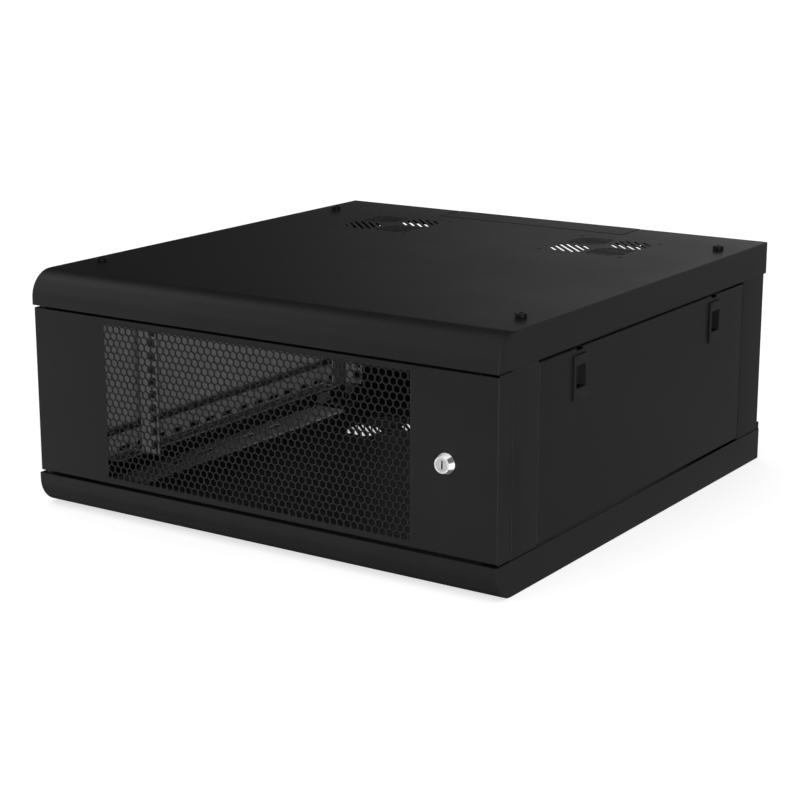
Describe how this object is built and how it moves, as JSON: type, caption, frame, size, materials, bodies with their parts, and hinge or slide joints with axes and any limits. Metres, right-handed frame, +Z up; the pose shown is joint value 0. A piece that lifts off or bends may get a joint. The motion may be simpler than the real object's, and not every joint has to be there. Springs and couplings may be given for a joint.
{
  "type": "network server rack cabinet",
  "caption": "Low wall-mount 19 inch network cabinet with curved bezels, hinged perforated lockable front door, lift-off side panels, slotted vents, cable entries and depth-adjustable rails.",
  "frame": {"origin": "centre of the footprint of the bounding box, at the underside", "axes": "+Z up, -Y out of the front door, +X to the right seen from the front"},
  "size_m": [0.6048, 0.63, 0.2732],
  "materials": {
    "black_powder": "satin black powder coat, fine grain",
    "zinc": "zinc plated",
    "black_steel": "black oxide, low gloss",
    "chrome": "polished",
    "satin_nickel": "satin",
    "brass": "plain"
  },
  "bodies": {
    "cabinet": {"top_cover": "black_powder", "bottom_tray": "black_powder", "cable_cover_top": "black_powder", "cable_cover_bottom": "black_powder", "cable_cover_screws": "black_steel", "front_post_left": "black_powder", "front_post_right": "black_powder", "rear_post_left": "black_powder", "rear_post_right": "black_powder", "top_bolts": "black_steel", "bottom_screws": "black_steel", "cover_nuts": "zinc", "hinge_bushes": "brass", "support_bar_lower_left": "black_powder", "support_bar_lower_right": "black_powder", "support_bar_upper_left": "black_powder", "support_bar_upper_right": "black_powder", "support_bar_screws": "zinc", "base_strip_left": "black_powder", "base_strip_right": "black_powder"},
    "door": {"door_panel": "black_powder", "door_mesh": "black_powder", "hinge_pin_upper": "zinc", "hinge_pin_lower": "zinc", "lock_body": "chrome", "lock_nut": "zinc"},
    "lock_core": {"lock_plug": "satin_nickel", "lock_cam": "zinc", "cam_screw": "zinc"},
    "panel_left": {"side_panel_left": "black_powder"},
    "panel_right": {"side_panel_right": "black_powder"},
    "latch_left_front": {"latch_left_front": "black_powder"},
    "latch_left_rear": {"latch_left_rear": "black_powder"},
    "latch_right_front": {"latch_right_front": "black_powder"},
    "latch_right_rear": {"latch_right_rear": "black_powder"},
    "rail_front_left": {"rail_front_left": "black_powder", "rail_front_left_bolts": "zinc"},
    "rail_front_right": {"rail_front_right": "black_powder", "rail_front_right_bolts": "zinc"},
    "rail_rear_left": {"rail_rear_left": "black_powder", "rail_rear_left_bolts": "zinc"},
    "rail_rear_right": {"rail_rear_right": "black_powder", "rail_rear_right_bolts": "zinc"}
  },
  "joints": [
    {"name": "door_hinge", "type": "hinge", "parent": "cabinet", "child": "door", "pos_m": [-0.2945, -0.2974, 0.134], "axis": [0, 0, -1], "range_deg": [0, 170]},
    {"name": "key_turn", "type": "hinge", "parent": "door", "child": "lock_core", "pos_m": [0.2399, -0.3079, 0.134], "axis": [0, -1, 0], "range_deg": [0, 90]},
    {"name": "panel_left_pull", "type": "slide", "parent": "cabinet", "child": "panel_left", "axis": [-1, 0, 0], "range_m": [0, 0.12]},
    {"name": "panel_right_pull", "type": "slide", "parent": "cabinet", "child": "panel_right", "axis": [1, 0, 0], "range_m": [0, 0.12]},
    {"name": "latch_left_front_slide", "type": "slide", "parent": "panel_left", "child": "latch_left_front", "axis": [0, 0, 1], "range_m": [0, 0.006]},
    {"name": "latch_left_rear_slide", "type": "slide", "parent": "panel_left", "child": "latch_left_rear", "axis": [0, 0, 1], "range_m": [0, 0.006]},
    {"name": "latch_right_front_slide", "type": "slide", "parent": "panel_right", "child": "latch_right_front", "axis": [0, 0, 1], "range_m": [0, 0.006]},
    {"name": "latch_right_rear_slide", "type": "slide", "parent": "panel_right", "child": "latch_right_rear", "axis": [0, 0, 1], "range_m": [0, 0.006]},
    {"name": "rail_front_left_depth", "type": "slide", "parent": "cabinet", "child": "rail_front_left", "axis": [0, 1, 0], "range_m": [-0.03, 0.03]},
    {"name": "rail_front_right_depth", "type": "slide", "parent": "cabinet", "child": "rail_front_right", "axis": [0, 1, 0], "range_m": [-0.03, 0.03]},
    {"name": "rail_rear_left_depth", "type": "slide", "parent": "cabinet", "child": "rail_rear_left", "axis": [0, 1, 0], "range_m": [-0.03, 0.03]},
    {"name": "rail_rear_right_depth", "type": "slide", "parent": "cabinet", "child": "rail_rear_right", "axis": [0, 1, 0], "range_m": [-0.03, 0.03]}
  ]
}
